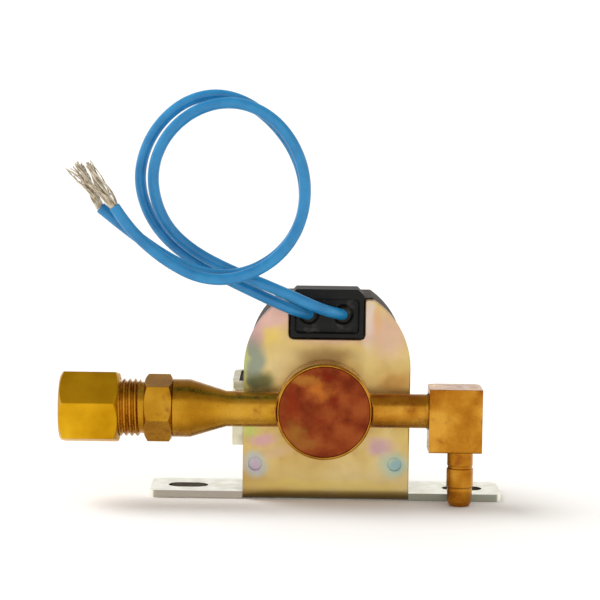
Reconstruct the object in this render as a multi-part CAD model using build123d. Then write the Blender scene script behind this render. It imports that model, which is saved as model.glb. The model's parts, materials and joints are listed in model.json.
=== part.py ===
"""Direct-acting solenoid valve on a sheet-metal bracket, built as separate pieces.

X runs from inlet to outlet, Y from front to back and Z up. Millimetres.
The origin is the centre of the two mounting slots, on the underside of the bracket's foot.
"""
from build123d import *
import math
import os

# ---- bracket: a D-shaped plate bent back into a long foot
SHEET = 1.4
PLATE_FRONT = -7.25
PLATE_BACK = PLATE_FRONT + SHEET
PLATE_HALF = 16.0
PLATE_TOP = 38.85
ARC_Z = 25.5
EDGE_ROLL = 0.3
BEND_R = 1.9
FOOT_LENGTH = 68.0
FOOT_DEPTH = 14.5
FOOT_CORNER_R = 1.6
FOOT_SETBACK = 0.4
SLOT_SPACING = 53.5
SLOT_LENGTH = 7.8
SLOT_WIDTH = 5.0
NOTCH = (-7.25, 6.95, 31.35)
NOTCH_CORNER_R = 0.9
NOTCH_ROLL = 0.6
PIPS = ((-13.6, 6.9), (13.2, 7.1))
PIP_R = 1.3
PIP_DEPTH = 0.6

# ---- the two axes: fluid runs along X, the solenoid works along Y
FLOW_Y = PLATE_FRONT - 3.8
FLOW_Z = 18.1
VALVE_X = -0.5

# ---- inlet: 7/16-24 compression fitting for 1/4 inch tube
PITCH = 1.058
THREAD_R = 5.55
THREAD_ROOT_R = 4.93
TUBE_R = 3.25
NUT_FLATS = 12.7
NUT_ENDS = (-50.65, -39.4)
NUT_TURN = -14.3
NUT_WALL = 2.6
HEX_FLATS = 11.5
HEX_ENDS = (-34.6, -29.3)
HEX_TURN = 7.7
THREAD_END = -46.2
BARREL_R = 5.5
CONE_ENDS = (-25.8, -19.4)
ARM_IN_R = 3.35
ARM_OUT_R = 3.25
ARM_BORE_R = 1.7
SPIGOT_R = 2.2

# ---- valve body: a turned disc with a pressed-in front plug
BODY_R = 9.15
BODY_FRONT = PLATE_FRONT - 7.2
PLUG_R = 8.7
PLUG_DEPTH = 1.2
PORT_R = 1.0
NOZZLE_R = 1.9
NOZZLE_TIP = -8.5
CHAMBER_FLOOR = -9.2
CHAMBER_R = 4.6
FLANGE_R = 6.75
FLANGE_FRONT = -8.25
FLANGE_BACK = -7.55
ORING_MEAN_R = 5.6
ORING_WIRE_R = 0.4

# ---- solenoid
TUBE_OUT_R = 4.2
TUBE_IN_R = 3.85
PLUNGER_R = 3.78
PLUNGER_ENDS = (-8.46, 2.0)
STROKE = 1.2
SPRING_WIRE_R = 0.17
SPRING_COIL_R = 1.2
SPRING_TURNS = 6
SPRING_SEAT = -2.6
CORE_FRONT = PLUNGER_ENDS[1] + STROKE + 0.02
CORE_BACK = 15.4
STRAP = 1.3
STRAP_Z = (10.2, 22.6)
STRAP_FRONT = -4.9
STRAP_NECK_HALF = 3.0
STRAP_OUT_X = -18.2
STRAP_TIP_X = 12.5
STRAP_BEND_R = 1.9
COIL_FRONT = PLATE_BACK + STRAP + 0.04
COIL_BACK = 11.75
BOBBIN_BORE_R = 4.4
BOBBIN_BARREL_R = 5.25
BOBBIN_FLANGE_R = 12.4
BOBBIN_FLANGE = 1.0
WINDING_R = 11.9
MOULD_HALF = 15.25
MOULD_ARC_Z = 26.5
MOULD_TOP = 39.15
MOULD_BOTTOM = 3.2

# ---- terminal block and leads
BLOCK_X = (-7.15, 6.85)
BLOCK_Z = (31.45, 40.8)
BLOCK_Y = (PLATE_FRONT - 0.3, 0.4)
BLOCK_RIM = 0.85
BLOCK_RECESS = 2.2
LEAD_EXITS = ((2.9, 35.9), (-3.6, 35.9))
LEAD_R = 1.07
STRIPPED = 9.6
STRANDS_ROOT_R = 0.72
STRANDS_TIP_R = 1.5

# ---- outlet elbow and hose spigot
ELBOW_X = (19.3, 29.35)
ELBOW_Z = (10.75, 22.85)
ELBOW_DEPTH = 9.0
OUTLET_X = 25.55
OUTLET_BOTTOM = 0.1
BARB_R = 2.55
GROOVE_R = 2.35
OUTLET_BORE_R = 1.3

LEAD_A = [
    (2.9, -6.6, 35.9), (1.0, -9.4, 36.5), (-2.1, -11.7, 37.7), (-6.0, -12.8, 39.5),
    (-11.9, -13.1, 42.0), (-19.0, -13.0, 44.8), (-25.3, -13.1, 48.0), (-30.1, -13.5, 52.1),
    (-32.8, -14.0, 57.5), (-33.4, -14.6, 63.5), (-31.4, -15.1, 69.1), (-27.4, -15.7, 73.5),
    (-22.0, -16.4, 76.1), (-16.3, -17.0, 76.2), (-11.0, -17.7, 73.7), (-7.1, -18.3, 69.3),
    (-4.8, -18.9, 63.7), (-4.6, -19.4, 57.2), (-6.7, -19.9, 51.1), (-11.3, -20.2, 46.2),
    (-17.9, -20.4, 43.4), (-24.3, -20.3, 43.7), (-30.0, -20.1, 46.6), (-34.6, -20.0, 50.2),
    (-37.9, -20.0, 53.7), (-40.0, -20.0, 56.8),
]
LEAD_B = [
    (-3.6, -6.6, 35.9), (-5.4, -8.8, 36.5), (-8.3, -9.9, 37.7), (-13.2, -10.3, 39.9),
    (-19.6, -10.2, 42.9), (-25.8, -10.3, 46.2), (-31.1, -10.6, 50.3), (-34.6, -11.1, 55.5),
    (-36.1, -11.6, 61.6), (-34.9, -12.1, 67.6), (-31.8, -12.6, 72.7), (-27.1, -13.1, 76.5),
    (-21.4, -13.6, 77.9), (-15.7, -14.2, 76.4), (-10.7, -14.8, 72.6), (-6.9, -15.5, 67.6),
    (-4.8, -16.1, 61.8), (-4.9, -16.6, 55.7), (-7.5, -16.9, 50.1), (-12.3, -17.2, 45.9),
    (-18.2, -17.3, 43.9), (-24.5, -17.2, 44.5), (-30.5, -17.1, 47.3), (-37.2, -17.0, 51.9),
    (-42.8, -17.0, 56.4),
]
STRANDS_A_WAY = (-0.54, 0.0, 0.84)
STRANDS_B_WAY = (-0.60, 0.0, 0.80)


def turned(outline):
    """Solid of revolution about X from (position, radius) corners."""
    return revolve(make_face(Polyline(*outline, close=True)), Axis.X, 360)


def along_x(outline):
    """Turn an outline about the fluid axis."""
    return Pos(0, FLOW_Y, FLOW_Z) * turned(outline)


def along_y(outline):
    """Turn an outline about the solenoid axis."""
    return Pos(VALVE_X, 0, FLOW_Z) * Rot(0, 0, 90) * turned(outline)


def along_z(outline, x, y):
    """Turn an outline about an upright axis."""
    return Pos(x, y, 0) * Rot(0, -90, 0) * turned(outline)


def ring(start, end, outer, inner=0.0):
    """Corners of a plain rod or tube."""
    return [(start, inner), (end, inner), (end, outer), (start, outer)]


def block(x, y, z):
    """Box between three (low, high) pairs."""
    size = [high - low for low, high in (x, y, z)]
    middle = [(high + low) / 2 for low, high in (x, y, z)]
    return Pos(*middle) * Box(*size)


def hex_bar(flats, start, end, turn, chamfer_start, chamfer_end):
    """Hexagonal bar along the fluid axis, its corners chamfered at the ends."""
    sides = Plane.YZ * Rot(0, 0, turn) * RegularPolygon(flats / 2, 6, major_radius=False)
    corner = flats / 2 / math.cos(math.pi / 6)
    face = flats / 2 - 0.15
    drop = (corner - face) * math.tan(math.radians(30))
    outline = [(start, 0), (end, 0)]
    outline += [(end, face), (end - drop, corner)] if chamfer_end else [(end, corner)]
    outline += [(start + drop, corner), (start, face)] if chamfer_start else [(start, corner)]
    bar = Pos(start, FLOW_Y, FLOW_Z) * extrude(sides, end - start)
    return bar & along_x(outline)


def d_shape(half, arc_z, bottom, top, y_start, y_end):
    """Block with a round top about arc_z, cut flat at the given height."""
    body = block((-half, half), (y_start, y_end), (bottom, arc_z))
    dome = Pos(0, y_start, arc_z) * Rot(-90, 0, 0) * Cylinder(
        half, y_end - y_start, align=(Align.CENTER, Align.CENTER, Align.MIN))
    upper = block((-half, half), (y_start, y_end), (arc_z - 1, top))
    return body + (dome & upper)


def front_edges(solid, y):
    """Edges that lie in the plane at y."""
    return solid.edges().filter_by_position(Axis.Y, y - 0.01, y + 0.01)


def mounting_bracket():
    """Plate, bend and foot in one sheet, with slots, notch and two half-sheared pips."""
    foot = block((-FOOT_LENGTH / 2, FOOT_LENGTH / 2), (PLATE_FRONT + FOOT_SETBACK, PLATE_FRONT + FOOT_DEPTH),
                 (0, SHEET))
    foot = fillet(foot.edges().filter_by(Axis.Z), FOOT_CORNER_R)
    for side in (-1, 1):
        slot = SlotOverall(SLOT_LENGTH, SLOT_WIDTH)
        foot -= Pos(side * SLOT_SPACING / 2, 0, -1) * extrude(slot, SHEET + 2)
    plate = d_shape(PLATE_HALF, ARC_Z, 0, PLATE_TOP, PLATE_FRONT, PLATE_BACK)
    outline = front_edges(plate, PLATE_FRONT).filter_by_position(Axis.Z, 1, PLATE_TOP)
    plate = fillet(outline, EDGE_ROLL)
    left, right, floor = NOTCH
    notch = block((left, right), (PLATE_FRONT - 1, PLATE_BACK + 1), (floor, PLATE_TOP + 1))
    lower = notch.edges().filter_by(Axis.Y).sort_by(Axis.Z)[0:2]
    plate -= fillet(lower, NOTCH_CORNER_R)
    rolled = front_edges(plate, PLATE_FRONT).filter_by_position(Axis.X, left - 0.1, right + 0.1)
    plate = fillet(rolled.filter_by_position(Axis.Z, floor - 0.1, PLATE_TOP - EDGE_ROLL), NOTCH_ROLL)
    sheet = plate + foot
    toe = block((-PLATE_HALF, PLATE_HALF), (PLATE_FRONT, PLATE_FRONT + BEND_R), (0, BEND_R))
    roll = Pos(0, PLATE_FRONT + BEND_R, BEND_R) * Rot(0, 90, 0) * Cylinder(BEND_R, 2 * PLATE_HALF)
    inner_bend = block((-PLATE_HALF, PLATE_HALF), (PLATE_BACK, PLATE_BACK + 0.6), (SHEET, SHEET + 0.6))
    inner_roll = Pos(0, PLATE_BACK + 0.6, SHEET + 0.6) * Rot(0, 90, 0) * Cylinder(0.6, 2 * PLATE_HALF)
    sheet = sheet - (toe - roll) + (inner_bend - inner_roll)
    sheet -= along_y(ring(PLATE_FRONT - 1, PLATE_BACK + 1, TUBE_OUT_R + 0.2))
    for x, z in PIPS:
        dimple = Pos(x, PLATE_FRONT, z) * Rot(-90, 0, 0) * Cylinder(PIP_R, 2 * PIP_DEPTH)
        pip = Pos(x, PLATE_BACK, z) * Rot(-90, 0, 0) * Cylinder(PIP_R, 2 * PIP_DEPTH)
        sheet = sheet + pip - dimple
    return sheet


def coil_yoke():
    """C-shaped steel strap: front leg behind a narrow neck, left side, rear leg."""
    front = (PLATE_BACK + 0.02, PLATE_BACK + 0.02 + STRAP)
    rear = (COIL_BACK + 0.04, COIL_BACK + 0.04 + STRAP)
    outer = Pos((STRAP_OUT_X + STRAP_TIP_X) / 2, (front[0] + rear[1]) / 2) * Rectangle(
        STRAP_TIP_X - STRAP_OUT_X, rear[1] - front[0])
    outer = fillet(outer.vertices().sort_by(Axis.X)[0:2], STRAP_BEND_R)
    inner = Pos((STRAP_OUT_X + STRAP_TIP_X) / 2 + STRAP, (front[1] + rear[0]) / 2) * Rectangle(
        STRAP_TIP_X - STRAP_OUT_X, rear[0] - front[1])
    inner = fillet(inner.vertices().sort_by(Axis.X)[0:2], STRAP_BEND_R - STRAP)
    strap = Pos(0, 0, STRAP_Z[0]) * extrude(outer - inner, STRAP_Z[1] - STRAP_Z[0])
    for z in ((STRAP_Z[0] - 1, FLOW_Z - STRAP_NECK_HALF), (FLOW_Z + STRAP_NECK_HALF, STRAP_Z[1] + 1)):
        strap -= block((STRAP_OUT_X - 1, STRAP_OUT_X + 3), (front[0] - 1, STRAP_FRONT), z)
    return strap - along_y(ring(front[0] - 1, rear[1] + 1, TUBE_OUT_R + 0.1))


def valve_body():
    """Turned disc with plug recess, flow passages, chamber and a rolled lip at the back."""
    plug_floor = BODY_FRONT + PLUG_DEPTH
    body = along_y([
        (BODY_FRONT, 0), (PLATE_FRONT, 0), (PLATE_FRONT, BODY_R - 0.3), (PLATE_FRONT - 0.3, BODY_R),
        (BODY_FRONT + 0.3, BODY_R), (BODY_FRONT, BODY_R - 0.25)])
    body -= along_y(ring(BODY_FRONT - 1, plug_floor, PLUG_R))
    body -= along_y(ring(plug_floor - 0.5, CHAMBER_FLOOR + 0.5, NOZZLE_R))
    body -= along_y(ring(CHAMBER_FLOOR, FLANGE_FRONT + 0.5, CHAMBER_R))
    body -= along_y(ring(FLANGE_FRONT, FLANGE_BACK, FLANGE_R))
    body -= along_y(ring(FLANGE_BACK - 0.1, PLATE_FRONT + 1, FLANGE_R - 0.45))
    groove = (ORING_MEAN_R - 0.6, ORING_MEAN_R + 0.6)
    body -= along_y(ring(FLANGE_FRONT - 2 * ORING_WIRE_R, FLANGE_FRONT + 0.1, groove[1], groove[0]))
    for side, radius in ((-1, SPIGOT_R), (1, SPIGOT_R)):
        rim = VALVE_X + side * (BODY_R + 1)
        socket_floor = VALVE_X + side * (BODY_R - 1.6)
        body -= along_x(ring(min(rim, socket_floor), max(rim, socket_floor), radius + 0.02))
    body -= along_x(ring(VALVE_X - BODY_R, VALVE_X - 3.0, PORT_R))
    body -= along_x(ring(VALVE_X, VALVE_X + BODY_R, PORT_R))
    link = Pos(VALVE_X - 3.4, FLOW_Y, FLOW_Z) * Rot(-90, 0, 0) * Cylinder(
        PORT_R, 3, align=(Align.CENTER, Align.CENTER, Align.MIN))
    return body - link


def front_plug():
    """Copper-faced plug that closes the bore the nozzle was pressed in through."""
    plug_floor = BODY_FRONT + PLUG_DEPTH
    return along_y([
        (BODY_FRONT + 0.05, 0), (plug_floor, 0), (plug_floor, PLUG_R),
        (BODY_FRONT + 0.2, PLUG_R), (BODY_FRONT + 0.05, PLUG_R - 0.15)])


def seat_nozzle():
    """Pressed-in nozzle: axial orifice towards the seal, side port towards the outlet."""
    nozzle = along_y([
        (BODY_FRONT + PLUG_DEPTH + 0.02, 0), (NOZZLE_TIP, 0), (NOZZLE_TIP, 1.05),
        (NOZZLE_TIP - 0.7, 1.4), (CHAMBER_FLOOR, NOZZLE_R), (BODY_FRONT + PLUG_DEPTH + 0.02, NOZZLE_R)])
    nozzle -= along_y(ring(FLOW_Y, NOZZLE_TIP + 1, 0.75))
    return nozzle - along_x(ring(VALVE_X, VALVE_X + NOZZLE_R + 1, 0.75))


def body_oring():
    """Elastomer ring between the body's groove and the guide tube's flange."""
    return Pos(VALVE_X, FLANGE_FRONT - ORING_WIRE_R, FLOW_Z) * Rot(-90, 0, 0) * Torus(
        ORING_MEAN_R, ORING_WIRE_R - 0.01)


def guide_tube():
    """Thin stainless tube with a flange held under the body's rolled lip."""
    return along_y([
        (FLANGE_FRONT, TUBE_IN_R), (13.2, TUBE_IN_R), (13.2, TUBE_OUT_R), (FLANGE_BACK, TUBE_OUT_R),
        (FLANGE_BACK, FLANGE_R - 0.03), (FLANGE_FRONT, FLANGE_R - 0.03)])


def plunger():
    """Moving iron with a seal pocket in front, a spring pocket behind and two flow flats."""
    front, back = PLUNGER_ENDS
    iron = along_y([
        (front, 0), (back, 0), (back, PLUNGER_R - 0.3), (back - 0.3, PLUNGER_R),
        (front + 0.4, PLUNGER_R), (front, PLUNGER_R - 0.4)])
    iron -= along_y(ring(front - 1, front + 1.5, 2.2))
    iron -= along_y(ring(SPRING_SEAT, back + 1, 1.6))
    for side in (-1, 1):
        flute = Pos(VALVE_X, (front + back) / 2, FLOW_Z + side * PLUNGER_R)
        iron -= flute * Box(1.2, back - front + 2, 1.0)
    return iron


def plunger_seal():
    """Elastomer pad that closes the nozzle."""
    front = PLUNGER_ENDS[0] - 0.02
    return along_y(ring(front, PLUNGER_ENDS[0] + 1.48, 2.18))


def plunger_spring():
    """Compression spring between the plunger's pocket and the fixed core."""
    start = SPRING_SEAT + SPRING_WIRE_R + 0.02
    length = CORE_FRONT - SPRING_WIRE_R - 0.02 - start
    path = Helix(pitch=length / SPRING_TURNS, height=length, radius=SPRING_COIL_R)
    wire = Plane(path @ 0, z_dir=path % 0) * Circle(SPRING_WIRE_R)
    coil = sweep(wire, path=path, is_frenet=True)
    return Pos(VALVE_X, start, FLOW_Z) * Rot(-90, 0, 0) * coil


def fixed_core():
    """Pole piece fixed in the tube's rear end, with a clip groove behind the yoke."""
    core = along_y([
        (CORE_FRONT, 0), (CORE_BACK, 0), (CORE_BACK, 3.3), (CORE_BACK - 0.5, 3.8), (14.3, 3.8),
        (14.3, 3.0), (13.4, 3.0), (13.4, 3.8), (CORE_FRONT + 0.3, 3.8), (CORE_FRONT, 3.5)])
    return core - along_y(ring(CORE_FRONT - 1, CORE_FRONT + 0.9, 2.8, 2.1))


def shading_ring():
    """Copper ring in the pole face that keeps the plunger from chattering."""
    return along_y(ring(CORE_FRONT + 0.05, CORE_FRONT + 0.89, 2.79, 2.11))


def retaining_clip():
    """Open spring clip in the core's groove that holds coil and yoke on the tube."""
    clip = along_y(ring(13.43, 14.23, 5.6, 3.05))
    mouth = block((VALVE_X - 1.9, VALVE_X + 1.9), (13, 15), (FLOW_Z - 7, FLOW_Z))
    return clip - mouth


def coil_bobbin():
    """Spool with two flanges."""
    return along_y([
        (COIL_FRONT, BOBBIN_BORE_R), (COIL_BACK, BOBBIN_BORE_R), (COIL_BACK, BOBBIN_FLANGE_R),
        (COIL_BACK - BOBBIN_FLANGE, BOBBIN_FLANGE_R), (COIL_BACK - BOBBIN_FLANGE, BOBBIN_BARREL_R),
        (COIL_FRONT + BOBBIN_FLANGE, BOBBIN_BARREL_R), (COIL_FRONT + BOBBIN_FLANGE, BOBBIN_FLANGE_R),
        (COIL_FRONT, BOBBIN_FLANGE_R)])


def winding_layer(inner, outer):
    """Sleeve between the bobbin's flanges."""
    start = COIL_FRONT + BOBBIN_FLANGE + 0.03
    end = COIL_BACK - BOBBIN_FLANGE - 0.03
    return along_y(ring(start, end, outer, inner))


def coil_overmould():
    """D-shaped moulding round the winding, with a strap channel and a terminal pocket."""
    front = PLATE_BACK + 0.05
    mould = d_shape(MOULD_HALF, MOULD_ARC_Z, MOULD_BOTTOM, MOULD_TOP, front, COIL_BACK)
    lower = mould.edges().filter_by(Axis.Y).sort_by(Axis.Z)[0:2]
    mould = fillet(lower, 3.0)
    mould -= along_y(ring(COIL_FRONT, COIL_BACK + 1, BOBBIN_FLANGE_R + 0.03))
    mould -= along_y(ring(front - 1, COIL_FRONT + 0.1, TUBE_OUT_R + 0.2))
    mould -= block((-MOULD_HALF - 1, MOULD_HALF + 1), (front - 1, COIL_FRONT),
                   (STRAP_Z[0] - 0.1, STRAP_Z[1] + 0.1))
    mould += block((STRAP_OUT_X + STRAP + 0.03, 1 - MOULD_HALF), (COIL_FRONT + 1, COIL_BACK - 1),
                   (STRAP_Z[0] + 0.5, STRAP_Z[1] - 0.5))
    mould -= block((BLOCK_X[0] - 0.05, BLOCK_X[1] + 0.05), (front - 1, BLOCK_Y[1] + 0.05),
                   (BLOCK_Z[0] - 0.05, MOULD_TOP + 1))
    for x, z in PIPS:
        mould -= Pos(x, front, z) * Rot(-90, 0, 0) * Cylinder(PIP_R + 0.1, 1.6)
    return mould


def terminal_block():
    """Chamfered housing with a recessed field, set in the plate's notch."""
    body = block(BLOCK_X, BLOCK_Y, BLOCK_Z)
    upper = body.edges().filter_by(Axis.Y).sort_by(Axis.Z)[2:4]
    body = chamfer(upper, 1.1)
    field = block((BLOCK_X[0] + BLOCK_RIM, BLOCK_X[1] - BLOCK_RIM),
                  (BLOCK_Y[0] - 1, BLOCK_Y[0] + BLOCK_RECESS), (BLOCK_Z[0] + BLOCK_RIM, BLOCK_Z[1] - 1.9))
    body -= fillet(field.edges().filter_by(Axis.Y), 0.8)
    for x, z in LEAD_EXITS:
        body -= Pos(x, -2, z) * Rot(-90, 0, 0) * Cylinder(0.45, 12)
    return body


def terminal_potting():
    """Resin in the terminal field, raised into a collar round each lead."""
    floor = BLOCK_Y[0] + BLOCK_RECESS
    fill = block((BLOCK_X[0] + BLOCK_RIM + 0.02, BLOCK_X[1] - BLOCK_RIM - 0.02), (floor - 0.9, floor - 0.01),
                 (BLOCK_Z[0] + BLOCK_RIM + 0.02, BLOCK_Z[1] - 1.92))
    fill = fillet(fill.edges().filter_by(Axis.Y), 0.8)
    for x, z in LEAD_EXITS:
        collar = Pos(x, 0, z) * Rot(0, 0, 90) * turned([
            (floor - 1.9, 0), (floor - 0.5, 0), (floor - 0.5, 2.0), (floor - 1.3, 1.9), (floor - 1.9, 1.4)])
        fill += collar
        fill -= Pos(x, floor, z) * Rot(-90, 0, 0) * Cylinder(0.45, 1.0)
    return fill


def terminal_pins():
    """Two pins that join the winding's ends to the leads inside the resin."""
    front = BLOCK_Y[0] + BLOCK_RECESS - 0.45
    pins = [Pos(x, front, z) * Rot(-90, 0, 0) * Cylinder(
        0.4, BLOCK_Y[1] - front, align=(Align.CENTER, Align.CENTER, Align.MIN)) for x, z in LEAD_EXITS]
    return Compound(children=[Solid(pin.wrapped) for pin in pins])


def inlet_fitting():
    """Hexagon with a male thread in front and a solder tail behind; ridges stand for the thread."""
    crests = [(THREAD_END, THREAD_ROOT_R - 0.3), (THREAD_END + 0.4, THREAD_ROOT_R)]
    turns = int((HEX_ENDS[0] - THREAD_END - 1.0) / PITCH)
    for turn in range(turns):
        start = THREAD_END + 0.6 + turn * PITCH
        crests += [(start, THREAD_ROOT_R), (start + 0.46, THREAD_R), (start + 0.60, THREAD_R),
                   (start + 0.98, THREAD_ROOT_R)]
    tail = HEX_ENDS[1] + 3.2
    shank = along_x([(THREAD_END, 0)] + crests + [
        (HEX_ENDS[0] + 0.5, THREAD_ROOT_R), (HEX_ENDS[0] + 0.5, 4.35), (tail, 4.35), (tail, 0)])
    fitting = shank + hex_bar(HEX_FLATS, *HEX_ENDS, HEX_TURN, True, True)
    fitting -= along_x([(THREAD_END - 1, 0), (tail + 1, 0), (tail + 1, 2.4), (THREAD_END + 6.2, 2.4),
                        (THREAD_END + 6.2, TUBE_R), (THREAD_END + 1.2, TUBE_R), (THREAD_END - 1, 4.35)])
    return fitting


def compression_sleeve():
    """Double-tapered ring that the nut squeezes on the tube."""
    start, end = THREAD_END - 3.0, THREAD_END + 0.4
    return along_x([
        (start, TUBE_R), (end, TUBE_R), (end, TUBE_R + 0.15), (end - 1.2, 4.1),
        (start + 0.9, 4.1), (start, TUBE_R + 0.25)])


def compression_nut():
    """Hexagon nut with a tube bore, a cone for the sleeve and a plain bore over the thread."""
    start, end = NUT_ENDS
    nut = hex_bar(NUT_FLATS, start, end, NUT_TURN, True, True)
    wall = start + NUT_WALL - 1.6
    nut -= along_x([
        (start - 1, 0), (end + 1, 0), (end + 1, THREAD_R + 0.06), (THREAD_END - 1.2, THREAD_R + 0.06),
        (THREAD_END - 2.2, 4.4), (wall + 0.9, 4.4), (wall, TUBE_R), (start - 1, TUBE_R)])
    return nut


def inlet_barrel():
    """Tube swaged from a wide barrel through a cone to the arm that enters the body."""
    start, cone_start, cone_end = HEX_ENDS[1] + 0.02, CONE_ENDS[0], CONE_ENDS[1]
    saddle = VALVE_X - math.sqrt(BODY_R ** 2 - ARM_IN_R ** 2) + 1
    tip = VALVE_X - BODY_R + 1.5
    arm = along_x([
        (start, 4.4), (cone_start, 4.4), (cone_end - 0.4, 2.4), (cone_end + 1, ARM_BORE_R),
        (tip, ARM_BORE_R), (tip, SPIGOT_R), (saddle, SPIGOT_R), (saddle, ARM_IN_R),
        (cone_end + 0.3, ARM_IN_R + 0.05), (cone_start, BARREL_R - 0.05), (cone_start - 0.6, BARREL_R),
        (start + 0.15, BARREL_R), (start, BARREL_R - 0.15)])
    return arm - saddle_cut(SPIGOT_R)


def saddle_cut(spigot):
    """The body's round side, less the spigot that enters its socket."""
    return along_y(ring(BODY_FRONT - 1, PLATE_FRONT + 1, BODY_R + 0.03)) - along_x(ring(-30, 30, spigot))


def inlet_strainer():
    """Pleated-gauze cup held in the barrel behind the fitting's tail."""
    start = HEX_ENDS[1] + 3.25
    return along_x([
        (start, 2.5), (start + 0.4, 2.5), (start + 3.6, 1.2), (start + 3.6, 0), (start + 3.85, 0),
        (start + 3.85, 1.45), (start + 0.6, 2.8), (start + 0.45, 3.9), (start, 3.9)])


def outlet_arm():
    """Straight tube between the body and the elbow, with a spigot at each end."""
    saddle = VALVE_X + math.sqrt(BODY_R ** 2 - ARM_OUT_R ** 2) - 1
    tip = VALVE_X + BODY_R - 1.5
    end = ELBOW_X[0] + 2
    arm = along_x([
        (tip, ARM_BORE_R), (end, ARM_BORE_R), (end, SPIGOT_R), (ELBOW_X[0] - 0.02, SPIGOT_R),
        (ELBOW_X[0] - 0.02, ARM_OUT_R), (saddle, ARM_OUT_R), (saddle, SPIGOT_R), (tip, SPIGOT_R)])
    return arm - saddle_cut(SPIGOT_R)


def outlet_elbow():
    """Square brass block drilled from the side and from below."""
    half = ELBOW_DEPTH / 2
    body = block(ELBOW_X, (FLOW_Y - half, FLOW_Y + half), ELBOW_Z)
    rear = body.edges().filter_by(Axis.Z).sort_by(Axis.Y)[2:4]
    body = fillet(rear, 1.6)
    body = chamfer(body.edges().filter_by(Axis.X).sort_by(Axis.Z)[0:1], 0.2)
    body -= along_x(ring(ELBOW_X[0] - 1, ELBOW_X[0] + 2.02, SPIGOT_R + 0.02))
    body -= along_x(ring(ELBOW_X[0], OUTLET_X + 0.5, OUTLET_BORE_R))
    body -= along_z(ring(ELBOW_Z[0] - 1, ELBOW_Z[0] + 2.02, SPIGOT_R + 0.02), OUTLET_X, FLOW_Y)
    body -= along_z(ring(ELBOW_Z[0], FLOW_Z + 0.5, OUTLET_BORE_R), OUTLET_X, FLOW_Y)
    return body


def outlet_spigot():
    """Hose spigot with two grooves and a chamfered mouth."""
    top = ELBOW_Z[0]
    upper, lower = top - 3.15, top - 7.3
    return along_z([
        (OUTLET_BOTTOM, OUTLET_BORE_R), (top + 2, OUTLET_BORE_R), (top + 2, SPIGOT_R),
        (top - 0.02, SPIGOT_R), (top - 0.02, 2.45), (upper + 0.3, 2.45), (upper + 0.2, GROOVE_R),
        (upper - 0.2, GROOVE_R), (upper - 0.35, BARB_R), (lower + 0.35, BARB_R), (lower + 0.2, GROOVE_R),
        (lower - 0.2, GROOVE_R), (lower - 0.35, 2.4), (OUTLET_BOTTOM + 0.7, 2.3), (OUTLET_BOTTOM, 1.9)],
        OUTLET_X, FLOW_Y)


def lead_radii(route):
    """Largest smooth radius at each corner of a lead's route."""
    points = [Vector(*point) for point in route]
    radii = []
    for before, corner, after in zip(points, points[1:], points[2:]):
        run_in, run_out = corner - before, after - corner
        turn = math.radians(run_in.get_angle(run_out))
        radii.append(0.45 * min(run_in.length, run_out.length) / math.tan(turn / 2))
    return radii


def lead_wire(name, route):
    """Insulated lead along its route, with its radii and volume compared with length."""
    radii = lead_radii(route)
    path = FilletPolyline(*route, radius=radii)
    start = Plane(path @ 0, z_dir=path % 0)
    lead = sweep(start * Circle(LEAD_R), path=path)
    ideal = math.pi * LEAD_R ** 2 * path.length
    print(name, "length", round(path.length, 1), "radii", [round(radius, 1) for radius in radii],
          "volume ratio", round(lead.volume / ideal, 4))
    return lead


def lead_strands(route, way):
    """Fanned strands on a stripped end, as one plain cone."""
    place = Plane(origin=route[-1], z_dir=way)
    fan = Cone(STRANDS_ROOT_R, STRANDS_TIP_R, STRIPPED, align=(Align.CENTER, Align.CENTER, Align.MIN))
    return place.location * fan


NODES = {
    "mounting_bracket": mounting_bracket,
    "coil_yoke": coil_yoke,
    "valve_body": valve_body,
    "front_plug": front_plug,
    "seat_nozzle": seat_nozzle,
    "body_oring": body_oring,
    "guide_tube": guide_tube,
    "plunger": plunger,
    "plunger_seal": plunger_seal,
    "plunger_spring": plunger_spring,
    "fixed_core": fixed_core,
    "shading_ring": shading_ring,
    "retaining_clip": retaining_clip,
    "coil_bobbin": coil_bobbin,
    "coil_winding": lambda: winding_layer(BOBBIN_BARREL_R + 0.03, WINDING_R),
    "winding_tape": lambda: winding_layer(WINDING_R + 0.02, BOBBIN_FLANGE_R - 0.02),
    "coil_overmould": coil_overmould,
    "terminal_block": terminal_block,
    "terminal_potting": terminal_potting,
    "terminal_pins": terminal_pins,
    "inlet_fitting": inlet_fitting,
    "compression_sleeve": compression_sleeve,
    "compression_nut": compression_nut,
    "inlet_barrel": inlet_barrel,
    "inlet_strainer": inlet_strainer,
    "outlet_arm": outlet_arm,
    "outlet_elbow": outlet_elbow,
    "outlet_spigot": outlet_spigot,
    "lead_wire_a": lambda: lead_wire("lead_wire_a", LEAD_A),
    "lead_wire_b": lambda: lead_wire("lead_wire_b", LEAD_B),
    "lead_strands_a": lambda: lead_strands(LEAD_A, STRANDS_A_WAY),
    "lead_strands_b": lambda: lead_strands(LEAD_B, STRANDS_B_WAY),
}

os.makedirs("parts", exist_ok=True)
for node, make in NODES.items():
    export_step(make(), f"parts/{node}.step")
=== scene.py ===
"""Looks of a direct-acting solenoid valve on a sheet-metal bracket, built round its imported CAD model.

X runs from inlet to outlet, Y from front to back and Z up. Metres, in the CAD frame.
"""
import json
import math
import random

import bpy
from mathutils import Matrix, Vector


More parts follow.
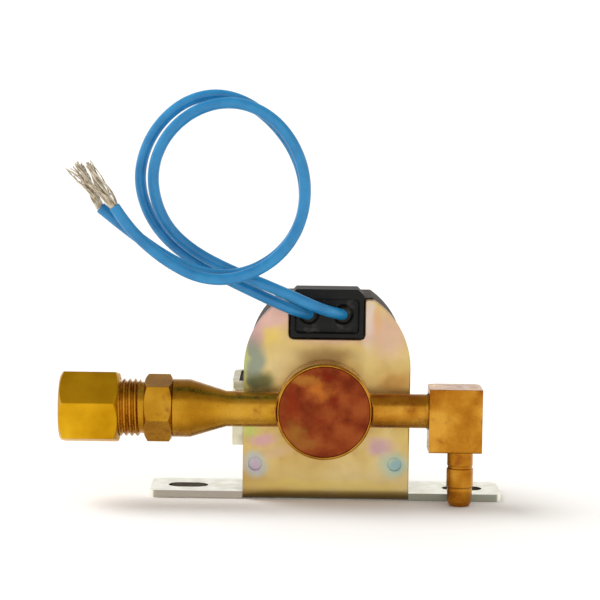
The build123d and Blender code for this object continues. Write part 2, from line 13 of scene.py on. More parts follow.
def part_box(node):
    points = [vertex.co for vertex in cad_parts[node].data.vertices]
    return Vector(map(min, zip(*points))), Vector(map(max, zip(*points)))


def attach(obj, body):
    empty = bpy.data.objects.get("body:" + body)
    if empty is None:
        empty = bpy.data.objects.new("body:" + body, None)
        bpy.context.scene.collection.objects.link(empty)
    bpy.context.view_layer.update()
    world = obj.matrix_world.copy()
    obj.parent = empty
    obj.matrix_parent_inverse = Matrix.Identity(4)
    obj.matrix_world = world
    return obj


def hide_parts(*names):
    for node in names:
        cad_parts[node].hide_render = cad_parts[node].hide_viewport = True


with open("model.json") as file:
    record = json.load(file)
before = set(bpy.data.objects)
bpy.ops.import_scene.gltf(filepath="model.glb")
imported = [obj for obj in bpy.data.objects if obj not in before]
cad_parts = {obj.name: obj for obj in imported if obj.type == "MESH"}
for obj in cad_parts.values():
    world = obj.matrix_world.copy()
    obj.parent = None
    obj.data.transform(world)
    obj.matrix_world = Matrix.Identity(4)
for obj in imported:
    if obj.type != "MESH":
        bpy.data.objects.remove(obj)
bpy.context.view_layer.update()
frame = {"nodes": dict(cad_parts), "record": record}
MM = 0.001


# ---- places that follow from the CAD model
def centre(node):
    """Middle of a CAD node's box."""
    low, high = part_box(node)
    return (low + high) / 2


FLOW_Y = centre("inlet_barrel").y
FLOW_Z = centre("inlet_barrel").z
VALVE_X = centre("front_plug").x
BODY_LOW, BODY_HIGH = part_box("valve_body")
BODY_R = (BODY_HIGH.x - BODY_LOW.x) / 2
PLATE_LOW, PLATE_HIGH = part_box("mounting_bracket")
PLATE_FRONT = PLATE_LOW.y
FITTING_LOW, FITTING_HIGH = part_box("inlet_fitting")
BARREL_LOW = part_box("inlet_barrel")[0]
NUT_LOW, NUT_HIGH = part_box("compression_nut")
ELBOW_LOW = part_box("outlet_elbow")[0]
ARM_LOW, ARM_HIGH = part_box("outlet_arm")
ARM_OUT_R = (ARM_HIGH.z - ARM_LOW.z) / 2
ARM_STEP = 0.1 * MM
ARM_IN_R = ARM_OUT_R + ARM_STEP
SPIGOT_X = centre("outlet_spigot").x

# ---- the two leads, the same points as in the CAD model
LEAD_R = 1.07 * MM
LEAD_A = [
    (0.0029, -0.0066, 0.0359), (0.0010, -0.0094, 0.0365), (-0.0021, -0.0117, 0.0377),
    (-0.0060, -0.0128, 0.0395), (-0.0119, -0.0131, 0.0420), (-0.0190, -0.0130, 0.0448),
    (-0.0253, -0.0131, 0.0480), (-0.0301, -0.0135, 0.0521), (-0.0328, -0.0140, 0.0575),
    (-0.0334, -0.0146, 0.0635), (-0.0314, -0.0151, 0.0691), (-0.0274, -0.0157, 0.0735),
    (-0.0220, -0.0164, 0.0761), (-0.0163, -0.0170, 0.0762), (-0.0110, -0.0177, 0.0737),
    (-0.0071, -0.0183, 0.0693), (-0.0048, -0.0189, 0.0637), (-0.0046, -0.0194, 0.0572),
    (-0.0067, -0.0199, 0.0511), (-0.0113, -0.0202, 0.0462), (-0.0179, -0.0204, 0.0434),
    (-0.0243, -0.0203, 0.0437), (-0.0300, -0.0201, 0.0466), (-0.0346, -0.0200, 0.0502),
    (-0.0379, -0.0200, 0.0537), (-0.0400, -0.0200, 0.0568),
]
LEAD_B = [
    (-0.0036, -0.0066, 0.0359), (-0.0054, -0.0088, 0.0365), (-0.0083, -0.0099, 0.0377),
    (-0.0132, -0.0103, 0.0399), (-0.0196, -0.0102, 0.0429), (-0.0258, -0.0103, 0.0462),
    (-0.0311, -0.0106, 0.0503), (-0.0346, -0.0111, 0.0555), (-0.0361, -0.0116, 0.0616),
    (-0.0349, -0.0121, 0.0676), (-0.0318, -0.0126, 0.0727), (-0.0271, -0.0131, 0.0765),
    (-0.0214, -0.0136, 0.0779), (-0.0157, -0.0142, 0.0764), (-0.0107, -0.0148, 0.0726),
    (-0.0069, -0.0155, 0.0676), (-0.0048, -0.0161, 0.0618), (-0.0049, -0.0166, 0.0557),
    (-0.0075, -0.0169, 0.0501), (-0.0123, -0.0172, 0.0459), (-0.0182, -0.0173, 0.0439),
    (-0.0245, -0.0172, 0.0445), (-0.0305, -0.0171, 0.0473), (-0.0372, -0.0170, 0.0519),
    (-0.0428, -0.0170, 0.0564),
]
STRIPPED = 9.6 * MM

# ---- fitting sizes; in the CAD model the fixed hexagon is 0.3 mm wider, both hexagons are turned a few
# degrees less and the thread is up to 0.1 mm larger in radius
PITCH = 1.058 * MM
THREAD_R = 5.45 * MM
THREAD_ROOT_R = 4.9 * MM
TUBE_R = 3.25 * MM
HEX_FLATS = 11.2 * MM
HEX_WIDTH = 5.3 * MM
HEX_TURN = 15.0
NUT_FLATS = 12.7 * MM
NUT_TURN = -12.3
NUT_BORE_R = THREAD_R + 0.06 * MM
NUT_LIP = 1.0 * MM
SLEEVE_ROOM_R = 4.4 * MM
TUBE_DEPTH = 6.2 * MM
BORE_R = 2.4 * MM
MOUTH_R = 3.9 * MM
MOUTH_DEPTH = 1.2 * MM
SHANK_R = 4.35 * MM
THREAD_RUNOUT = 0.8 * MM
THREAD_TIP_R = THREAD_ROOT_R - 0.3 * MM

# ---- bracket sizes
SHEET = 1.4 * MM
PLATE_HALF = 16.0 * MM
SLOT_SPACING = 53.5 * MM


def rgb(red, green, blue):
    """Linear colour from ordinary 0 to 255 screen values."""
    def linear(value):
        value /= 255
        return value / 12.92 if value <= 0.04045 else ((value + 0.055) / 1.055) ** 2.4
    return (linear(red), linear(green), linear(blue), 1.0)


# ---- camera
CAMERA_PLACE = (-0.0054, -0.445, 0.08083)
CAMERA_TILT = 84.5
CAMERA_ROLL = 0.8
camera = bpy.data.objects.new("camera", bpy.data.cameras.new("camera"))
bpy.context.scene.collection.objects.link(camera)
camera.location = CAMERA_PLACE
camera.matrix_world = (Matrix.Translation(camera.location)
                       @ Matrix.Rotation(math.radians(CAMERA_TILT), 4, "X")
                       @ Matrix.Rotation(math.radians(CAMERA_ROLL), 4, "Z"))
camera.data.lens = 138
camera.data.sensor_width = 36
camera.data.clip_start = 0.01
bpy.context.scene.camera = camera


# ---- node helpers
BEVEL_SAMPLES = 6
RELIEF = 0.02 * MM


class Paint:
    """One procedural material, with its pattern set out in the piece's own coordinates."""

    def __init__(self, name, metallic, roughness):
        self.material = bpy.data.materials.new(name)
        self.material.use_nodes = True
        self.tree = self.material.node_tree
        self.shader = self.tree.nodes["Principled BSDF"]
        self.shader.inputs["Metallic"].default_value = metallic
        self.shader.inputs["Roughness"].default_value = roughness
        self.place = self.add("ShaderNodeTexCoord").outputs["Object"]

    def add(self, kind, inputs=(), **settings):
        """New node with its settings, and its sockets linked or given a constant."""
        node = self.tree.nodes.new(kind)
        for key, value in settings.items():
            setattr(node, key, value)
        for key, value in dict(inputs).items():
            if isinstance(value, bpy.types.NodeSocket):
                self.tree.links.new(value, node.inputs[key])
            else:
                node.inputs[key].default_value = value
        return node

    def noise(self, scale, detail=3.0, offset=(0, 0, 0)):
        """Noise value; scale is in features per metre."""
        mapped = self.add("ShaderNodeMapping", {"Vector": self.place, "Location": offset})
        return self.add("ShaderNodeTexNoise", {
            "Vector": mapped.outputs[0], "Scale": scale, "Detail": detail}).outputs[0]

    def wobbly(self, amount, scale):
        """Coordinates pushed about by noise, for uneven outlines."""
        noise = self.add("ShaderNodeTexNoise", {"Vector": self.place, "Scale": scale, "Detail": 3.0})
        shift = self.add("ShaderNodeVectorMath", {0: noise.outputs[1], 1: (0.5, 0.5, 0.5)},
                         operation="SUBTRACT")
        scaled = self.add("ShaderNodeVectorMath", {0: shift.outputs[0], 1: (amount, amount, amount)},
                          operation="MULTIPLY")
        return self.add("ShaderNodeVectorMath", {0: self.place, 1: scaled.outputs[0]},
                        operation="ADD").outputs[0]

    def span(self, value, start, end, low=0.0, high=1.0):
        """Value carried smoothly from one range to another."""
        return self.add("ShaderNodeMapRange", {
            "Value": value, "From Min": start, "From Max": end, "To Min": low, "To Max": high},
            interpolation_type="SMOOTHSTEP").outputs[0]

    def spot(self, place, middle, size, strength, soft):
        """Soft-edged ellipsoid mask about a place."""
        away = self.add("ShaderNodeVectorMath", {0: place, 1: middle}, operation="SUBTRACT")
        scaled = self.add("ShaderNodeVectorMath", {
            0: away.outputs[0], 1: tuple(1 / side for side in size)}, operation="MULTIPLY")
        length = self.add("ShaderNodeVectorMath", {0: scaled.outputs[0]}, operation="LENGTH")
        return self.span(length.outputs["Value"], 1 + soft, 1 - soft, 0.0, strength)

    def blend(self, factor, first, second):
        """Colour mixed between two."""
        return self.add("ShaderNodeMix", {0: factor, 6: first, 7: second}, data_type="RGBA").outputs[2]

    def ramp(self, value, *stops):
        """Colour ramp through (position, colour) stops."""
        node = self.add("ShaderNodeValToRGB", {0: value})
        elements = node.color_ramp.elements
        while len(elements) < len(stops):
            elements.new(0.5)
        for element, (position, colour) in zip(elements, stops):
            element.position = position
            element.color = colour
        return node.outputs[0]

    def finish(self, colour, rough=None, edge=0.0, bump=0.0, bump_scale=1800):
        """Link colour, roughness, rounded edges and fine relief to the shader."""
        self.tree.links.new(colour, self.shader.inputs["Base Color"])
        if rough is not None:
            self.tree.links.new(rough, self.shader.inputs["Roughness"])
        normal = None
        if edge:
            normal = self.add("ShaderNodeBevel", {"Radius": edge}, samples=BEVEL_SAMPLES).outputs[0]
        if bump:
            relief = self.add("ShaderNodeBump", {
                "Strength": bump, "Distance": RELIEF, "Height": self.noise(bump_scale, 4.0)})
            if normal is not None:
                self.tree.links.new(normal, relief.inputs["Normal"])
            normal = relief.outputs[0]
        if normal is not None:
            self.tree.links.new(normal, self.shader.inputs["Normal"])
        return self.material


def metal(name, dark, middle, light, roughness, edge=0.12 * MM, bump=0.25, grain=110, stain=None):
    """Mottled metal with uneven polish and, where given, a few stains."""
    paint = Paint(name, 1.0, roughness)
    broad = paint.noise(grain, 4.0)
    colour = paint.ramp(broad, (0.32, dark), (0.5, middle), (0.68, light))
    if stain:
        fleck = paint.span(paint.noise(330, 6.0, offset=(3, 1, 2)), 0.55, 0.75, 0.0, 0.7)
        colour = paint.blend(fleck, colour, stain)
    polish = paint.noise(700, 4.0, offset=(1, 5, 2))
    rough = paint.span(polish, 0.3, 0.7, roughness - 0.05, roughness + 0.08)
    return paint.finish(colour, rough, edge, bump)


def dull(name, dark, light, roughness, edge=0.1 * MM, bump=0.4, dust=None, shine=0.25):
    """Moulded or rubbery material with a slight mottle and, where given, some dust."""
    paint = Paint(name, 0.0, roughness)
    paint.shader.inputs["Specular IOR Level"].default_value = shine
    colour = paint.ramp(paint.noise(260, 4.0), (0.35, dark), (0.65, light))
    if dust:
        mask = paint.span(paint.noise(420, 6.0, offset=(2, 3, 1)), 0.56, 0.74, 0.0, 0.6)
        colour = paint.blend(mask, colour, dust)
    return paint.finish(colour, None, edge, bump, bump_scale=1400)


# ---- the plate's yellow chromate, with its drifting tints, painted shade and painted reflection
PATCH_DEPTH = 9 * MM


def chromate():
    """Yellow passivated zinc: tan gold with pink, green and blue drifts, plus painted shade and painted
    reflection beside the disc and arms, round the bend, in the slots and on the foot.
    """
    paint = Paint("chromate", 1.0, 0.38)
    plate = paint.wobbly(3.5 * MM, 170)
    colour = paint.ramp(paint.noise(75, 4.0), (0.34, rgb(198, 164, 98)), (0.5, rgb(208, 180, 114)),
                        (0.66, rgb(216, 192, 136)))
    half_height = (PLATE_HIGH.z - PLATE_LOW.z) / 2
    # place across and up in halves of the plate, size in millimetres, tint, strength
    patches = [
        ((-0.68, 1.84), (4.2, 2.8), rgb(214, 172, 166), 0.85),
        ((-0.66, 1.66), (1.8, 1.6), rgb(222, 194, 104), 0.75),
        ((-0.88, 1.66), (1.7, 2.6), rgb(196, 150, 164), 0.7),
        ((-0.90, 1.38), (1.9, 4.4), rgb(124, 142, 134), 0.8),
        # painted shade: dark olive patch on the plate just above the inlet arm
        ((-0.80, 1.16), (3.0, 1.7), rgb(78, 86, 56), 0.85),
        ((-0.99, 1.38), (0.6, 7.5), rgb(196, 200, 120), 0.7),
        ((-0.93, 0.72), (1.7, 1.9), rgb(184, 200, 110), 0.7),
        ((-0.78, 0.60), (2.6, 1.1), rgb(202, 154, 162), 0.8),
        ((-0.60, 0.48), (2.8, 1.0), rgb(204, 168, 150), 0.4),
        ((0.50, 1.80), (1.3, 4.6), rgb(214, 196, 186), 0.85),
        ((0.72, 1.66), (3.0, 4.6), rgb(206, 168, 150), 0.75),
        ((0.60, 1.80), (0.9, 2.6), rgb(214, 164, 118), 0.6),
        ((0.64, 0.54), (2.4, 1.6), rgb(188, 150, 164), 0.8),
        ((0.92, 0.70), (1.3, 2.4), rgb(214, 190, 110), 0.5),
        # painted shadow: orange-brown band on the plate just above the outlet arm
        ((0.78, 1.19), (3.2, 1.9), rgb(176, 122, 60), 0.65),
        ((0.05, 1.62), (7.4, 1.2), rgb(200, 158, 142), 0.65),
        # painted reflection: dark brown crescent of the disc on the plate just above it
        ((-0.02, 1.44), (5.6, 1.9), rgb(126, 88, 58), 0.55),
        ((-0.85, 0.355), (2.3, 2.2), rgb(166, 186, 196), 0.75),
        ((0.825, 0.365), (2.4, 2.2), rgb(160, 192, 180), 0.75),
        ((-0.85, 0.355), (1.1, 1.1), rgb(196, 160, 184), 0.7),
        ((0.825, 0.365), (1.1, 1.1), rgb(130, 168, 180), 0.7),
        ((0.10, 0.14), (14.0, 1.0), rgb(222, 196, 104), 0.5),
    ]
    for (x, z), (wide, high), tint, strength in patches:
        place = (PLATE_HALF * x, PLATE_FRONT, half_height * z)
        mask = paint.spot(plate, place, (wide * MM, PATCH_DEPTH, high * MM), strength, soft=0.6)
        colour = paint.blend(mask, colour, tint)
    # painted shade: darker round the bend, where the sheet turns down towards the shadowed floor
    axes = paint.add("ShaderNodeSeparateXYZ", {0: paint.place}).outputs
    bend = paint.span(axes["Z"], 2.6 * MM, 0.6 * MM, 0.0, 0.85)
    colour = paint.blend(bend, colour, rgb(112, 92, 46))
    # painted reflection: the foot is painted paler, almost silver, where its upper face mirrors the pale
    # surroundings; along its sheared front edge it is greyer, bare zinc partly darkened with painted shade
    # from the shadowed floor in front
    away = paint.add("ShaderNodeMath", {0: axes["X"]}, operation="ABSOLUTE").outputs[0]
    low = paint.span(axes["Z"], SHEET + 0.6 * MM, SHEET + 0.2 * MM)
    beyond = paint.span(away, PLATE_HALF - 0.1 * MM, PLATE_HALF + 0.1 * MM)
    behind = paint.span(axes["Y"], PLATE_FRONT + 1.0 * MM, PLATE_FRONT + 1.6 * MM)
    outer = paint.add("ShaderNodeMath", {0: beyond, 1: behind}, operation="MAXIMUM").outputs[0]
    foot = paint.add("ShaderNodeMath", {0: low, 1: outer}, operation="MULTIPLY").outputs[0]
    pale = paint.ramp(paint.noise(60, 3.0), (0.38, rgb(250, 248, 240)), (0.62, rgb(254, 254, 238)))
    rim = paint.span(axes["Y"], PLATE_FRONT + 0.75 * MM, PLATE_FRONT + 0.5 * MM, 0.0, 0.9)
    across = paint.span(axes["X"], -20 * MM, 20 * MM)
    edge_zinc_and_shade = paint.ramp(across, (0.0, rgb(172, 164, 152)), (0.25, rgb(184, 156, 130)),
                      (0.75, rgb(132, 140, 120)), (1.0, rgb(140, 144, 128)))
    pale = paint.blend(rim, pale, edge_zinc_and_shade)
    colour = paint.blend(foot, colour, pale)
    # painted shade on the walls of the slots, below the foot's upper face, where the contact shadow falls
    sunk = paint.span(axes["Z"], SHEET - 0.02 * MM, SHEET - 0.06 * MM, 0.0, 0.9)
    slot_shade_size = (5.0 * MM, 3.4 * MM, PATCH_DEPTH)
    for way in (-1, 1):
        near = paint.spot(paint.place, (way * SLOT_SPACING / 2, 0, 0), slot_shade_size, 1.0, soft=0.1)
        walls = paint.add("ShaderNodeMath", {0: near, 1: sunk}, operation="MULTIPLY").outputs[0]
        colour = paint.blend(walls, colour, rgb(62, 48, 34))
    rough = paint.span(paint.noise(500, 4.0), 0.3, 0.7, 0.32, 0.44)
    return paint.finish(colour, rough, edge=0.15 * MM, bump=0.2, bump_scale=2200)


# ---- the copper-faced plug
def plug_copper():
    """Tarnished copper with gold drifts and small dark red spots."""
    paint = Paint("plug_copper", 1.0, 0.36)
    face = paint.wobbly(4.0 * MM, 420)
    colour = paint.ramp(paint.noise(300, 6.0), (0.34, rgb(108, 42, 22)), (0.5, rgb(134, 60, 29)),
                        (0.66, rgb(150, 76, 37)))
    # place across and up from the middle, size, both in millimetres, tint, strength
    patches = [
        ((-1.0, 4.2), (1.8, 1.5), rgb(190, 112, 42), 0.7),
        ((-3.8, 6.2), (2.6, 0.9), rgb(176, 118, 48), 0.7),
        ((-5.4, -4.2), (1.6, 1.8), rgb(150, 104, 42), 0.65),
        ((-3.6, -6.4), (2.2, 1.0), rgb(150, 100, 44), 0.55),
        ((0.1, 6.6), (0.8, 0.7), rgb(120, 34, 20), 0.7),
        ((1.6, 2.0), (0.9, 0.8), rgb(118, 32, 20), 0.7),
        ((-0.8, -1.6), (0.9, 0.7), rgb(124, 38, 22), 0.6),
        ((-6.0, 1.5), (1.2, 2.4), rgb(140, 50, 26), 0.5),
    ]
    for (x, z), (wide, high), tint, strength in patches:
        place = (VALVE_X + x * MM, BODY_LOW.y, FLOW_Z + z * MM)
        mask = paint.spot(face, place, (wide * MM, PATCH_DEPTH, high * MM), strength, soft=0.8)
        colour = paint.blend(mask, colour, tint)
    rough = paint.span(paint.noise(600, 4.0), 0.3, 0.7, 0.3, 0.45)
    return paint.finish(colour, rough, edge=0.15 * MM, bump=0.35, bump_scale=1500)


BRASS_STAIN = rgb(128, 62, 26)
materials = {
    "chromated_steel": chromate(),
    "zinc_steel": metal("zinc", rgb(206, 204, 180), rgb(222, 218, 192), rgb(232, 228, 204), 0.42),
    "brass_nut": metal("nut_brass", rgb(186, 134, 12), rgb(208, 156, 22), rgb(220, 172, 34), 0.42,
                       edge=0.4 * MM, bump=0.15, grain=130),
    "brass_fitting": metal("fitting_brass", rgb(164, 112, 22), rgb(186, 134, 34), rgb(202, 152, 54), 0.26,
                           edge=0.2 * MM, bump=0.1, stain=BRASS_STAIN),
    "brass_body": metal("body_brass", rgb(150, 88, 18), rgb(178, 118, 32), rgb(204, 148, 54), 0.22,
                        edge=0.2 * MM, bump=0.06, grain=170, stain=BRASS_STAIN),
    "copper_plug": plug_copper(),
    "stainless": metal("stainless", rgb(180, 180, 178), rgb(196, 196, 194), rgb(210, 210, 208), 0.25),
    "soft_iron": metal("soft_iron", rgb(150, 150, 148), rgb(168, 168, 166), rgb(182, 182, 180), 0.35),
    "shading_copper": metal("shading_copper", rgb(180, 100, 62), rgb(200, 118, 76), rgb(212, 134, 92), 0.3),
    "spring_steel": metal("spring_steel", rgb(168, 168, 168), rgb(186, 186, 186), rgb(202, 202, 202), 0.28),
    "winding_copper": metal("winding_copper", rgb(160, 76, 40), rgb(182, 92, 50), rgb(196, 108, 62), 0.35),
    "winding_tape": dull("winding_tape", rgb(190, 160, 60), rgb(206, 178, 80), 0.45),
    "bobbin_nylon": dull("bobbin_nylon", rgb(206, 202, 190), rgb(222, 218, 206), 0.5),
    "coil_moulding": dull("coil_moulding", rgb(34, 25, 18), rgb(54, 42, 32), 0.65, dust=rgb(88, 74, 58)),
    "block_moulding": dull("block_moulding", rgb(7, 7, 6), rgb(14, 13, 12), 0.55,
                           edge=0.3 * MM, dust=rgb(26, 25, 23)),
    "potting_resin": dull("potting_resin", rgb(8, 8, 8), rgb(16, 15, 15), 0.45,
                          edge=0.35 * MM, bump=0.6, dust=rgb(84, 82, 78)),
    "elastomer": dull("elastomer", rgb(24, 24, 24), rgb(34, 34, 34), 0.6),
    "lead_insulation": dull("lead_insulation", rgb(16, 116, 172), rgb(32, 134, 190), 0.3,
                            edge=0.0, bump=0.15, shine=0.5),
    "tinned_strands": metal("tinned_strands", rgb(176, 162, 140), rgb(208, 196, 174), rgb(230, 220, 202),
                            0.4, edge=0.0, bump=0.1, grain=900),
}
for row in frame["record"]["subparts"]:
    node = frame["nodes"][row["node"]]
    node.data.materials.clear()
    node.data.materials.append(materials[row["material_slot"]])


def new_piece(name, points, faces, body, slot, angle=32):
    """Mesh piece with smooth faces and sharp edges above the angle."""
    mesh = bpy.data.meshes.new(name)
    mesh.from_pydata([tuple(point) for point in points], [], faces)
    mesh.update()
    for face in mesh.polygons:
        face.use_smooth = True
    mesh.set_sharp_from_angle(angle=math.radians(angle))
    piece = bpy.data.objects.new(name, mesh)
    bpy.context.scene.collection.objects.link(piece)
    mesh.materials.append(materials[slot])
    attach(piece, body)
    return piece


def about_flow(x, radius, angle):
    """Point at a radius and angle round the fluid axis."""
    return (x, FLOW_Y + radius * math.cos(angle), FLOW_Z + radius * math.sin(angle))


def loft(rows, closed=False):
    """Faces between rings of equal length; closed joins the last ring to the first."""
    count = len(rows[0])
    faces = []
    total = len(rows) if closed else len(rows) - 1
    for row in range(total):
        for column in range(count):
            after = (column + 1) % count
            up = (row + 1) % len(rows)
            faces.append((row * count + column, row * count + after,
                          up * count + after, up * count + column))
    return [point for ring in rows for point in ring], faces


# ---- hexagons
COLUMNS = 96


def hex_rows(start, end, flats, turn, faces_r, slope):
    """Rings of a hexagon whose corners are turned down at both ends."""
    angles = [math.radians(turn) + math.tau * column / COLUMNS for column in range(COLUMNS)]
    rows = [[], [], [], []]
    for column, angle in enumerate(angles):
        off = math.radians(60 * (column / COLUMNS * 6 % 1 - 0.5))
        reach = flats / 2 / math.cos(off)
        drops = [max(0.0, reach - face_r) * slope for face_r in faces_r]
        rows[0].append(about_flow(start, min(reach, faces_r[0]), angle))
        rows[1].append(about_flow(start + drops[0], reach, angle))
        rows[2].append(about_flow(end - drops[1], reach, angle))
        rows[3].append(about_flow(end, min(reach, faces_r[1]), angle))
    return rows


def round_row(x, radius):
    """Ring of points round the fluid axis."""
    return [about_flow(x, radius, math.tau * column / COLUMNS) for column in range(COLUMNS)]


def turned_row(x, radius, turn):
    """Ring whose first point sits at a turn, to line up with a hexagon."""
    return [about_flow(x, radius, math.radians(turn) + math.tau * column / COLUMNS)
            for column in range(COLUMNS)]


# ---- compression nut: hexagon with its thread bore, the sleeve's room and the tube's hole
nut_faces_r = (NUT_FLATS / 2 - 0.35 * MM, NUT_FLATS / 2 - 0.2 * MM)
nut_rows = hex_rows(NUT_LOW.x, NUT_HIGH.x, NUT_FLATS, NUT_TURN, nut_faces_r, slope=0.62)
inside = [(NUT_HIGH.x, NUT_BORE_R), (FITTING_LOW.x - 1.2 * MM, NUT_BORE_R),
          (FITTING_LOW.x - 2.2 * MM, SLEEVE_ROOM_R), (NUT_LOW.x + NUT_LIP + 0.9 * MM, SLEEVE_ROOM_R),
          (NUT_LOW.x + NUT_LIP, TUBE_R), (NUT_LOW.x, TUBE_R)]
nut_rows += [turned_row(x, radius, NUT_TURN) for x, radius in inside]
nut = new_piece("nut", *loft(nut_rows, closed=True), "nut", "brass_nut")
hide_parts("compression_nut")

# ---- threaded fitting: helical thread, hexagon, bore
BARREL_GAP = 0.02 * MM
HEX_START = BARREL_LOW.x - BARREL_GAP - HEX_WIDTH
HEX_END = HEX_START + HEX_WIDTH
# one turn of the thread's outline, as parts of the pitch and radii
thread_profile = [(0.0, THREAD_ROOT_R), (0.40, THREAD_R), (0.56, THREAD_R), (0.94, THREAD_ROOT_R)]
points = []
turns = int((HEX_START - FITTING_LOW.x) / PITCH) + 3
for turn in range(turns):
    for part, radius in thread_profile:
        for column in range(COLUMNS):
            around = column / COLUMNS
            x = FITTING_LOW.x + (turn - 1.5 + part + around) * PITCH
            reach = THREAD_ROOT_R if x > HEX_START - THREAD_RUNOUT else radius
            x = min(max(x, FITTING_LOW.x), HEX_START + 0.3 * MM)
            reach = min(reach, THREAD_TIP_R + (x - FITTING_LOW.x))
            points.append(about_flow(x, reach, math.tau * around))
faces = []
rings = turns * len(thread_profile)
for ring in range(rings - 1):
    for column in range(COLUMNS):
        if column + 1 < COLUMNS:
            right = (ring * COLUMNS + column + 1, (ring + 1) * COLUMNS + column + 1)
        elif ring + 1 + len(thread_profile) < rings:
            right = ((ring + len(thread_profile)) * COLUMNS, (ring + 1 + len(thread_profile)) * COLUMNS)
        else:
            continue
        faces.append((ring * COLUMNS + column, right[0], right[1], (ring + 1) * COLUMNS + column))
hex_hole_r = SHANK_R - 0.05 * MM
hex_face_r = HEX_FLATS / 2 - 0.15 * MM
hex_points, hex_faces = loft(
    [turned_row(HEX_START, hex_hole_r, HEX_TURN)]
    + hex_rows(HEX_START, HEX_END, HEX_FLATS, HEX_TURN, (hex_face_r, hex_face_r), slope=0.6)
    + [turned_row(HEX_END, hex_hole_r, HEX_TURN)])
faces += [tuple(index + len(points) for index in face) for face in hex_faces]
points += hex_points
bore_points, bore_faces = loft([
    round_row(FITTING_LOW.x, THREAD_TIP_R), round_row(FITTING_LOW.x + 0.02 * MM, MOUTH_R),
    round_row(FITTING_LOW.x + MOUTH_DEPTH, TUBE_R), round_row(FITTING_LOW.x + TUBE_DEPTH, TUBE_R),
    round_row(FITTING_LOW.x + TUBE_DEPTH, BORE_R), round_row(FITTING_HIGH.x, BORE_R),
    round_row(FITTING_HIGH.x, SHANK_R), round_row(HEX_END - 0.2 * MM, SHANK_R)])
faces += [tuple(index + len(points) for index in face) for face in bore_faces]
points += bore_points
fitting = new_piece("threaded_fitting", points, faces, "valve", "brass_fitting", angle=25)
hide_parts("inlet_fitting")


# ---- brazed joints, as small hollow fillets
LUMPS = 12
BRAZE_STEPS = 6
DISC_BRAZE = 0.42 * MM
ELBOW_BRAZE = 0.5 * MM
SPIGOT_BRAZE = 0.45 * MM
BRAZE_SINK = 0.03 * MM
SPIGOT_NECK_R = 2.34 * MM


def braze(name, ring_at, slot):
    """Concave fillet; ring_at(angle, out, up) gives a point out along the pipe and up off it."""
    draws = random.Random(name)
    lumps = [draws.uniform(0.85, 1.15) for _ in range(LUMPS)]
    rows = []
    for step in range(BRAZE_STEPS):
        sweep = math.radians(90) * step / (BRAZE_STEPS - 1)
        row = []
        for column in range(COLUMNS):
            angle = math.tau * column / COLUMNS
            where = column / COLUMNS * LUMPS
            low = lumps[int(where) % LUMPS]
            high = lumps[(int(where) + 1) % LUMPS]
            size = low + (high - low) * (where % 1)
            out = 1 - math.sin(sweep)
            up = 1 - math.cos(sweep)
            row.append(ring_at(angle, out * size, up * size))
        rows.append(row)
    return new_piece(name, *loft(rows), "valve", slot, angle=60)


def disc_joint(side, pipe_r, width):
    """Ring function for a pipe that meets the disc's round edge."""
    def ring_at(angle, out, up):
        radius = pipe_r + up * width
        height = radius * math.sin(angle)
        x = VALVE_X + side * (math.sqrt(BODY_R ** 2 - height ** 2) + out * width - BRAZE_SINK)
        return about_flow(x, radius, angle)
    return ring_at


def elbow_joint(angle, out, up):
    """Ring function for the outlet arm against the elbow's side."""
    return about_flow(ELBOW_LOW.x - out * ELBOW_BRAZE, ARM_OUT_R + up * ELBOW_BRAZE, angle)


def spigot_joint(angle, out, up):
    """Ring function for the spigot under the elbow."""
    radius = SPIGOT_NECK_R + up * SPIGOT_BRAZE
    return (SPIGOT_X + radius * math.cos(angle), FLOW_Y + radius * math.sin(angle),
            ELBOW_LOW.z - out * SPIGOT_BRAZE)


braze("braze_inlet", disc_joint(-1, ARM_IN_R, DISC_BRAZE), "brass_body")
braze("braze_outlet", disc_joint(1, ARM_OUT_R, DISC_BRAZE), "brass_body")
braze("braze_elbow", elbow_joint, "brass_fitting")
braze("braze_spigot", spigot_joint, "brass_fitting")


# ---- leads
def lead(name, route):
    """Insulated lead as one smooth curve."""
    curve = bpy.data.curves.new(name, "CURVE")
    curve.dimensions = "3D"
    spline = curve.splines.new("NURBS")
    spline.points.add(len(route) - 1)
    for point, place in zip(spline.points, route):
        point.co = (*place, 1.0)
        point.radius = LEAD_R
    spline.order_u = 3
    spline.use_endpoint_u = True
    curve.resolution_u = 12
    curve.bevel_depth = 1.0
    curve.bevel_resolution = 7
    curve.use_fill_caps = True
    piece = bpy.data.objects.new(name, curve)
    bpy.context.scene.collection.objects.link(piece)
    curve.materials.append(materials["lead_insulation"])
    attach(piece, "valve")
    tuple(route[0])
    return piece


STRAND_ROOT = 1.2 * MM
BUNDLE_R = 0.55 * MM


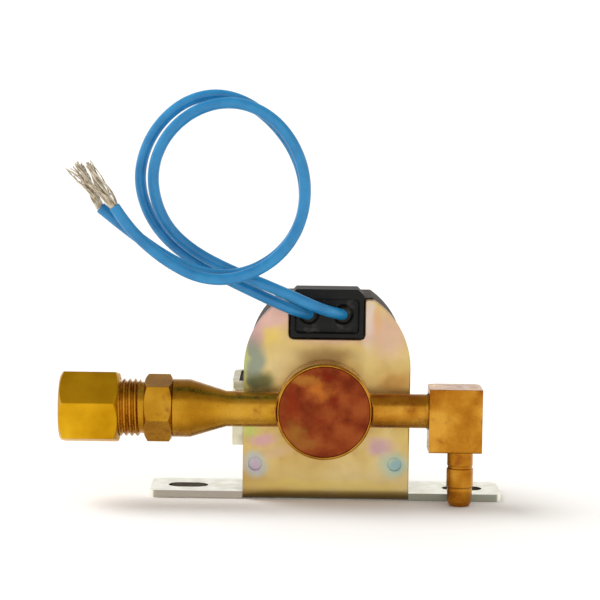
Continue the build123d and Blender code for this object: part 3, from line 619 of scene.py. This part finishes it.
def strand_bundle(name, root, way, count, twist, bulge, hairs, seed):
    """Tinned strands of a stripped end, twisted together with a few loose hairs."""
    draws = random.Random(seed)
    way = Vector(way).normalized()
    side = Vector((way.z, 0, -way.x))
    front = Vector((0, -1, 0))
    root = Vector(root) - way * STRAND_ROOT
    points = []
    faces = []
    steps = 16
    sides = 6
    for strand in range(count + hairs):
        loose = strand >= count
        turn = draws.uniform(0, math.tau)
        spread = math.sqrt(draws.random()) * BUNDLE_R
        shortest = 0.7 if loose else 0.86
        reach = (STRIPPED + STRAND_ROOT) * draws.uniform(shortest, 1.0)
        lean = draws.uniform(0.08, 0.40) * (1 if draws.random() < 0.85 else -0.3) if loose else 0
        wave = draws.uniform(-0.12, 0.12)
        radius = draws.uniform(0.075, 0.1) * MM
        line = []
        for step in range(steps):
            along = step / (steps - 1)
            swell = 1 + bulge * math.sin(math.pi * min(1, along * 1.15)) + 0.25 * along
            angle = turn + twist * math.tau * along
            bend = (lean * max(0, along - 0.25) ** 1.4 * 10 + wave * math.sin(5 * along)) * MM
            line.append(root + way * reach * along + side * (spread * swell * math.cos(angle) - bend)
                        + front * spread * swell * math.sin(angle))
        base = len(points)
        for step, place in enumerate(line):
            ahead = (line[min(step + 1, steps - 1)] - line[max(step - 1, 0)]).normalized()
            across = ahead.cross(front).normalized()
            over = ahead.cross(across)
            for corner in range(sides):
                around = math.tau * corner / sides
                points.append(place + (across * math.cos(around) + over * math.sin(around)) * radius)
        for step in range(steps - 1):
            for corner in range(sides):
                after = (corner + 1) % sides
                low = base + step * sides
                faces.append((low + corner, low + after, low + sides + after, low + sides + corner))
        faces.append(tuple(base + corner for corner in range(sides)))
        faces.append(tuple(base + (steps - 1) * sides + corner for corner in range(sides)))
    return new_piece(name, points, faces, "valve", "tinned_strands", angle=60)


strands_a = strand_bundle("strands_a", LEAD_A[-1], (-0.53, 0, 0.85), count=40, twist=0.35,
                          bulge=0.95, hairs=7, seed=4)
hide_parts("lead_strands_a")
strands_b = strand_bundle("strands_b", LEAD_B[-1], (-0.45, 0, 0.89), count=34, twist=0.8,
                          bulge=0.35, hairs=14, seed=8)
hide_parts("lead_strands_b")
lead_a = lead("lead_a", LEAD_A)
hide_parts("lead_wire_a")
lead_b = lead("lead_b", LEAD_B)
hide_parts("lead_wire_b")

# ---- floor
FLOOR_HALF = 3
mesh = bpy.data.meshes.new("floor")
mesh.from_pydata([(-FLOOR_HALF, -FLOOR_HALF, 0), (FLOOR_HALF, -FLOOR_HALF, 0),
                  (FLOOR_HALF, FLOOR_HALF, 0), (-FLOOR_HALF, FLOOR_HALF, 0)], [], [(0, 1, 2, 3)])
floor = bpy.data.objects.new("floor", mesh)
bpy.context.scene.collection.objects.link(floor)
paper = Paint("paper", 0.0, 0.8)
mesh.materials.append(paper.finish(paper.ramp(
    paper.noise(3, 2.0), (0.4, (0.93, 0.93, 0.93, 1)), (0.6, (0.95, 0.95, 0.95, 1)))))


# ---- light
def sun(name, place, angle, power):
    """Broad distant light shining from the direction of a place, hidden from reflections."""
    lamp = bpy.data.objects.new(name, bpy.data.lights.new(name, "SUN"))
    lamp.data.angle = math.radians(angle)
    lamp.data.energy = power
    lamp.rotation_euler = (-Vector(place)).to_track_quat("-Z", "Y").to_euler()
    lamp.visible_glossy = False
    bpy.context.scene.collection.objects.link(lamp)


sun("key", place=(-0.5, 0.2, 0.65), angle=42, power=2.4)

# ---- surroundings: pale all round, with a darker cap overhead
OVERHEAD = (0, 0.122, 0.9925)
PALE = (1.05, 1.05, 1.04, 1)
PALE_END = 0.48
CAP = (0.46, 0.42, 0.36, 1)
CAP_START = 0.62
SKY_STRENGTH = 1.04
world = bpy.data.worlds.new("world")
bpy.context.scene.world = world
world.use_nodes = True
sky = world.node_tree
background = sky.nodes["Background"]
direction = sky.nodes.new("ShaderNodeTexCoord").outputs["Generated"]
overhead = sky.nodes.new("ShaderNodeVectorMath")
overhead.operation = "DOT_PRODUCT"
overhead.inputs[1].default_value = OVERHEAD
sky.links.new(direction, overhead.inputs[0])
cap = sky.nodes.new("ShaderNodeValToRGB")
cap.color_ramp.elements[0].position = PALE_END
cap.color_ramp.elements[0].color = PALE
cap.color_ramp.elements[1].position = CAP_START
cap.color_ramp.elements[1].color = CAP
sky.links.new(overhead.outputs["Value"], cap.inputs[0])
sky.links.new(cap.outputs[0], background.inputs["Color"])
background.inputs["Strength"].default_value = SKY_STRENGTH
bpy.context.scene.view_settings.view_transform = "Standard"
